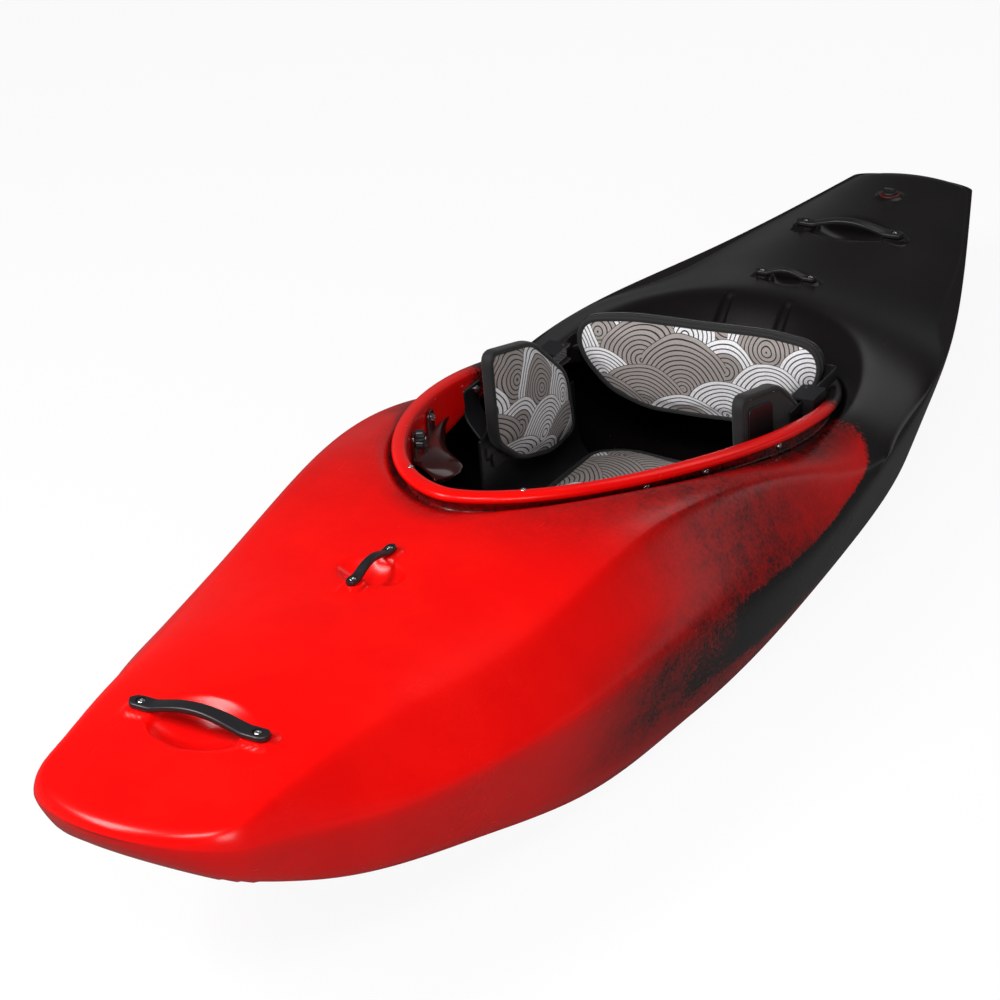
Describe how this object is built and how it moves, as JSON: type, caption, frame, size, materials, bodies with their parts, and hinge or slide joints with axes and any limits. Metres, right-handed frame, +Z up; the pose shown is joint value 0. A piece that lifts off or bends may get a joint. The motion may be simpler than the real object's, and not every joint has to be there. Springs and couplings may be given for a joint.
{
  "type": "whitewater kayak",
  "caption": "Low-stern whitewater kayak: one-piece moulded hull and deck with an open cockpit, padded seat, hip pads, backband on ratchets, thigh braces, footrests, grab handles and drain plug.",
  "frame": {"origin": "on the ground under the middle of the boat's length and width", "axes": "+Z up, bow towards -Y, port side (the paddler's left) at +X"},
  "size_m": [0.6782, 2.328, 0.3479],
  "materials": {
    "shell": "rotomoulded polyethylene, red forward and black aft, satin gloss",
    "satin_black": "satin moulded nylon",
    "gloss_black": "smooth gloss",
    "steel": "stainless screws, bolts and pins",
    "foam": "closed-cell foam, matte",
    "pad_fabric": "printed grey cover with black binding"
  },
  "bodies": {
    "boat": {"bow_handle": "satin_black", "bow_handle_screw_1": "steel", "bow_handle_screw_2": "steel", "coaming_screw_left": "steel", "coaming_screw_right": "steel", "drain_plug_seat": "satin_black", "footrest_rail_left": "satin_black", "footrest_rail_right": "satin_black", "front_foam_pillar": "foam", "front_security_bar": "satin_black", "front_security_bar_screw_1": "steel", "front_security_bar_screw_2": "steel", "hip_pad_left": "pad_fabric", "hip_pad_right": "pad_fabric", "hip_plate_left": "satin_black", "hip_plate_right": "satin_black", "hull_shell": "shell", "ratchet_buckle_left": "satin_black", "ratchet_buckle_right": "satin_black", "ratchet_pin_left": "steel", "ratchet_pin_right": "steel", "rear_foam_pillar": "foam", "rear_security_bar": "satin_black", "rear_security_bar_screw_1": "steel", "rear_security_bar_screw_2": "steel", "seat_bolt_left": "steel", "seat_bolt_right": "steel", "seat_pad": "pad_fabric", "seat_shell": "satin_black", "stern_handle": "satin_black", "stern_handle_screw_1": "steel", "stern_handle_screw_2": "steel", "thigh_brace_bolt_left_1": "steel", "thigh_brace_bolt_left_2": "steel", "thigh_brace_bolt_right_1": "steel", "thigh_brace_bolt_right_2": "steel", "thigh_brace_left": "gloss_black", "thigh_brace_right": "gloss_black", "thigh_pad_left": "foam", "thigh_pad_right": "foam"},
    "backband": {"backband_pad": "pad_fabric", "backband_shell": "satin_black", "ladder_strap_left": "satin_black", "ladder_strap_right": "satin_black"},
    "ratchet_lever_left": {"ratchet_lever_left": "gloss_black"},
    "ratchet_lever_right": {"ratchet_lever_right": "gloss_black"},
    "foot_plate_left": {"foot_plate_left": "satin_black", "foot_pad_left": "foam", "foot_plate_lock_left": "satin_black"},
    "foot_plate_right": {"foot_plate_right": "satin_black", "foot_pad_right": "foam", "foot_plate_lock_right": "satin_black"},
    "drain_plug": {"drain_plug": "satin_black"}
  },
  "joints": [
    {"name": "backband_slide", "type": "slide", "parent": "boat", "child": "backband", "axis": [0, -1, 0], "range_m": [0, 0.025]},
    {"name": "ratchet_lever_left_turn", "type": "hinge", "parent": "boat", "child": "ratchet_lever_left", "pos_m": [0.2, 0.228, 0.222], "axis": [0, 0, -1], "range_deg": [0, 60]},
    {"name": "ratchet_lever_right_turn", "type": "hinge", "parent": "boat", "child": "ratchet_lever_right", "pos_m": [-0.2, 0.228, 0.222], "axis": [0, 0, 1], "range_deg": [0, 60]},
    {"name": "foot_plate_left_slide", "type": "slide", "parent": "boat", "child": "foot_plate_left", "axis": [0, 1, 0], "range_m": [-0.05, 0.05]},
    {"name": "foot_plate_right_slide", "type": "slide", "parent": "boat", "child": "foot_plate_right", "axis": [0, 1, 0], "range_m": [-0.05, 0.05]},
    {"name": "drain_plug_turn", "type": "hinge", "parent": "boat", "child": "drain_plug", "pos_m": [0, 1.034, 0.2], "axis": [0, 0, 1], "range_deg": [0, 90]}
  ]
}
